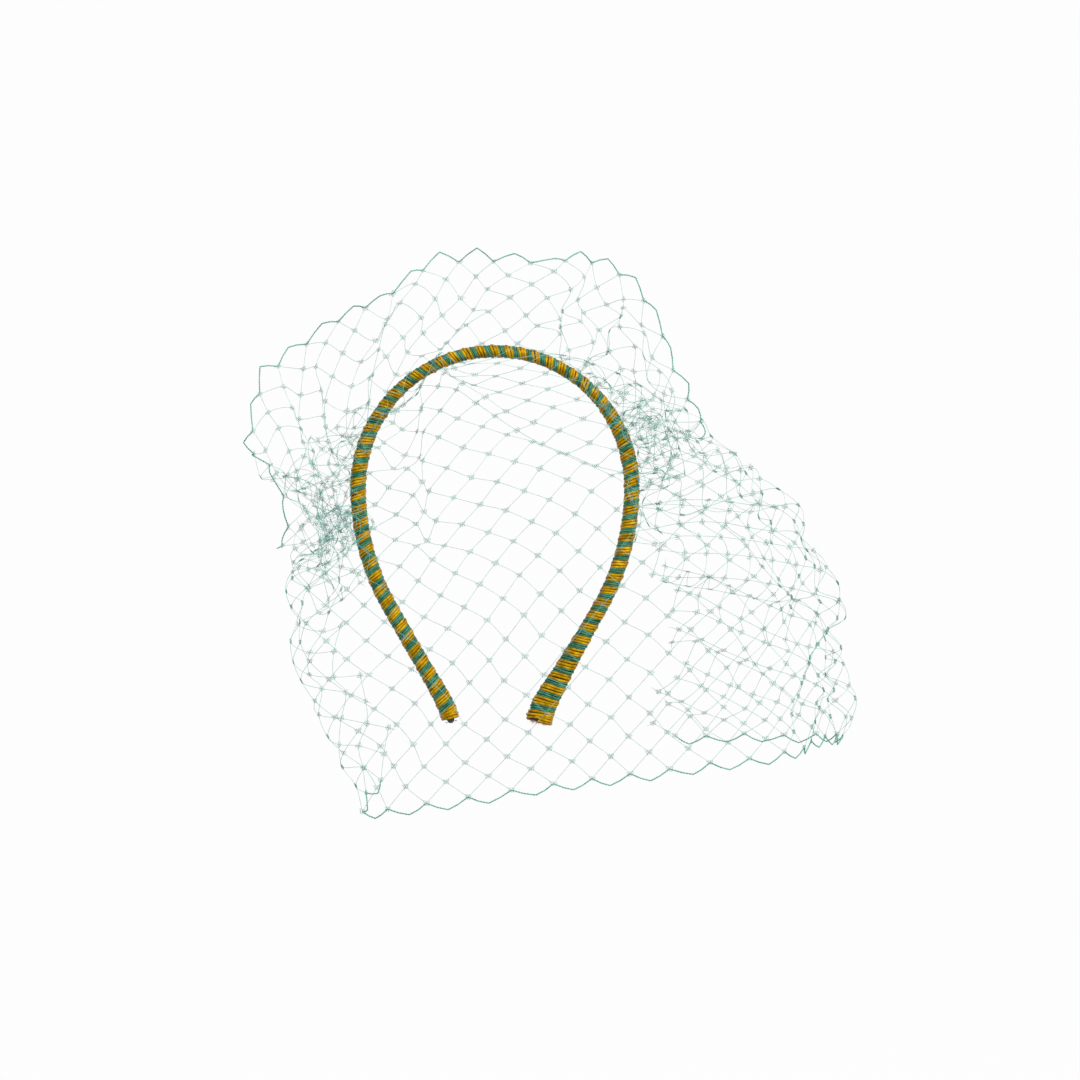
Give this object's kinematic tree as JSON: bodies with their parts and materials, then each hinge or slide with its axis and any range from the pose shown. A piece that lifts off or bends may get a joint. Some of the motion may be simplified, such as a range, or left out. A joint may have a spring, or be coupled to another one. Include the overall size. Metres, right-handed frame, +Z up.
{
  "type": "veil headband",
  "caption": "Wound Alice headband with a strip of diamond birdcage veiling gathered on it, falling before the face and standing up as a frill.",
  "frame": {"origin": "underside of the band's crown at the middle of its depth, where it sits on the head", "axes": "+Z up as worn, +X to the wearer's left, where the veil swings round, -Y the way the face looks"},
  "size_m": [0.255, 0.0953, 0.2397],
  "materials": {
    "core": "dark padded band, seen only at its rounded tips",
    "gold_floss": "old gold satin floss, wound in puffy turns with a soft silky sheen",
    "teal_floss": "deep teal green satin floss, wound between the gold turns",
    "netting": "fine mint and teal millinery netting with small woven knots and a zigzag selvedge"
  },
  "bodies": {
    "root": {"band_core": "core", "gold_winding": "gold_floss", "teal_winding": "teal_floss", "veil": "netting"}
  },
  "joints": []
}
